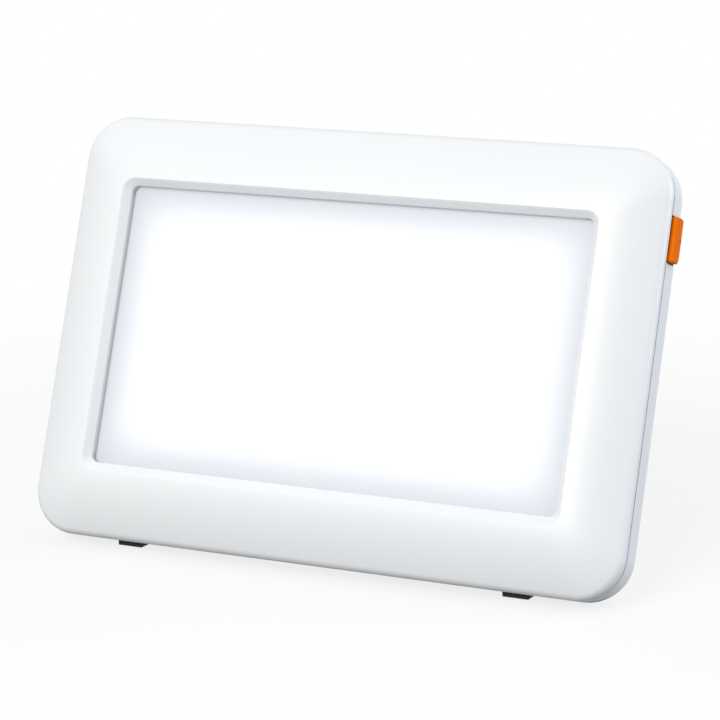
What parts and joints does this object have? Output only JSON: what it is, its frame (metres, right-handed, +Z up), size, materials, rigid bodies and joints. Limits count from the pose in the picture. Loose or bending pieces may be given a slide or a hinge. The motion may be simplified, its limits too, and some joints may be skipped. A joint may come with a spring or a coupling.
{
  "type": "light therapy lamp",
  "caption": "Compact table-top light therapy lamp: a wide rounded panel with a recessed diffuser, leaning on rubber feet and a fold-out rear stand, with an orange side button.",
  "frame": {"origin": "middle of the whole lamp's footprint, on the table", "axes": "+X to the lamp's right as seen from the front (the button's side), +Y to the back, +Z up; the light panel faces -Y and leans back 20 degrees"},
  "size_m": [0.2524, 0.0844, 0.1667],
  "materials": {
    "white_shell": "satin white moulded ABS",
    "opal_diffuser": "fine matte opal acrylic",
    "orange_button": "satin orange",
    "black_rubber": "matte black rubber",
    "white_tray": "matte white reflector",
    "grey_foam": "grey foam strip",
    "aluminium_plate": "plain rolled aluminium",
    "white_board": "white solder mask with yellow phosphor LEDs",
    "green_board": "green solder mask",
    "connector_cream": "cream nylon",
    "wire_red": "red insulation",
    "black_plastic": "matte black",
    "steel": "zinc plated steel"
  },
  "bodies": {
    "lamp_body": {"case_screw_1": "steel", "case_screw_2": "steel", "case_screw_3": "steel", "case_screw_4": "steel", "case_screw_5": "steel", "case_screw_6": "steel", "control_board": "green_board", "control_board_screw_1": "steel", "control_board_screw_2": "steel", "diffuser_panel": "opal_diffuser", "driver_chip": "black_plastic", "filter_capacitor": "black_plastic", "foot_left": "black_rubber", "foot_right": "black_rubber", "front_frame": "white_shell", "kickstand_axle": "steel", "led_board_plug": "connector_cream", "led_header": "connector_cream", "led_plate": "aluminium_plate", "led_strip_1": "white_board", "led_strip_2": "white_board", "led_strip_3": "white_board", "led_strip_4": "white_board", "led_strip_5": "white_board", "led_strip_6": "white_board", "led_wire_lower": "black_plastic", "led_wire_upper": "wire_red", "panel_gasket": "grey_foam", "power_inductor": "black_plastic", "power_socket": "black_plastic", "rear_cover": "white_shell", "reflector_tray": "white_tray", "socket_pin": "steel", "switch_board": "green_board", "switch_board_screw_1": "steel", "switch_board_screw_2": "steel", "switch_body": "black_plastic", "switch_cover": "steel", "switch_header": "connector_cream", "switch_plug": "connector_cream", "switch_wire_lower": "black_plastic", "switch_wire_upper": "black_plastic", "tray_screw_1": "steel", "tray_screw_2": "steel", "tray_screw_3": "steel", "tray_screw_4": "steel"},
    "stand_arm": {"kickstand": "white_shell", "kickstand_pad": "black_rubber"},
    "button": {"power_button": "orange_button", "switch_plunger": "black_plastic"}
  },
  "joints": [
    {"name": "stand_hinge", "type": "hinge", "parent": "lamp_body", "child": "stand_arm", "pos_m": [-0.0012, 0.01045, 0.09136], "axis": [-1, 0, 0], "range_deg": [0, 38]},
    {"name": "button_slide", "type": "slide", "parent": "lamp_body", "child": "button", "axis": [-1, 0, 0], "range_m": [0, 0.0008], "stiffness_N_per_m": 800, "springref_m": -0.0005}
  ]
}
